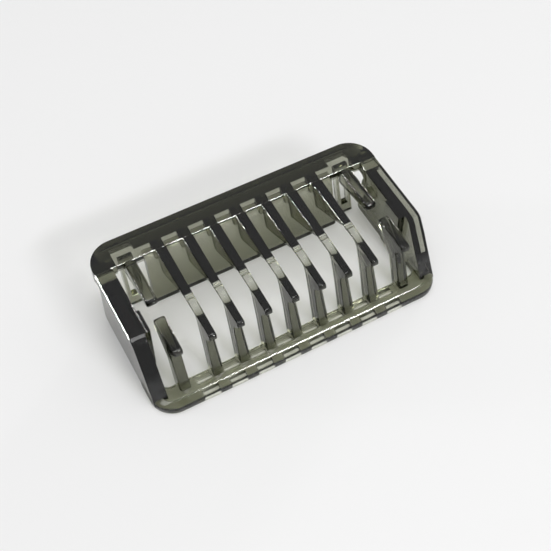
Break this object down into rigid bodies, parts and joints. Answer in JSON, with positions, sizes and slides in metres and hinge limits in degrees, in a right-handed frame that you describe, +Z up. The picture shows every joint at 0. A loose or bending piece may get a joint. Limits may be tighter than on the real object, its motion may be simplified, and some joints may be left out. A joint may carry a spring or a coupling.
{
  "type": "hair trimmer guard comb",
  "caption": "Smoke-clear guard comb with slotted hook-nosed ribs, end cheeks, a rear flange and two sprung snap tongues.",
  "frame": {"origin": "middle of the base, on the table plane the comb lies on", "axes": "+Z up towards what is read as the skin side, +Y towards the rear flange, +X along the length towards the right-hand cheek"},
  "size_m": [0.038, 0.0204, 0.008],
  "materials": {
    "smoke_shell": "polished clear plastic with a neutral smoke tint",
    "smoke_ribs": "polished clear plastic with a neutral smoke tint",
    "smoke_tongues": "polished clear plastic with a neutral smoke tint"
  },
  "bodies": {
    "comb": {"rear_flange": "smoke_shell", "rear_wall": "smoke_shell", "left_cheek": "smoke_shell", "right_cheek": "smoke_shell", "front_rail": "smoke_shell", "front_ridge": "smoke_shell", "left_guide_rib": "smoke_shell", "right_guide_rib": "smoke_shell", "rib_1": "smoke_ribs", "rib_2": "smoke_ribs", "rib_3": "smoke_ribs", "rib_4": "smoke_ribs", "rib_5": "smoke_ribs", "rib_6": "smoke_ribs", "rib_7": "smoke_ribs", "left_end_horn": "smoke_ribs", "right_end_horn": "smoke_ribs", "left_end_stub": "smoke_ribs", "right_end_stub": "smoke_ribs"},
    "left_tongue": {"left_snap_tongue": "smoke_tongues"},
    "right_tongue": {"right_snap_tongue": "smoke_tongues"}
  },
  "joints": [
    {"name": "left_tongue_flex", "type": "hinge", "parent": "comb", "child": "left_tongue", "pos_m": [-0.0146, 0.00775, 0.00661], "axis": [1, 0, 0], "range_deg": [0, 6], "stiffness_Nm_per_rad": 0.05},
    {"name": "right_tongue_flex", "type": "hinge", "parent": "comb", "child": "right_tongue", "pos_m": [0.0146, 0.00775, 0.00661], "axis": [1, 0, 0], "range_deg": [0, 6], "stiffness_Nm_per_rad": 0.05}
  ]
}
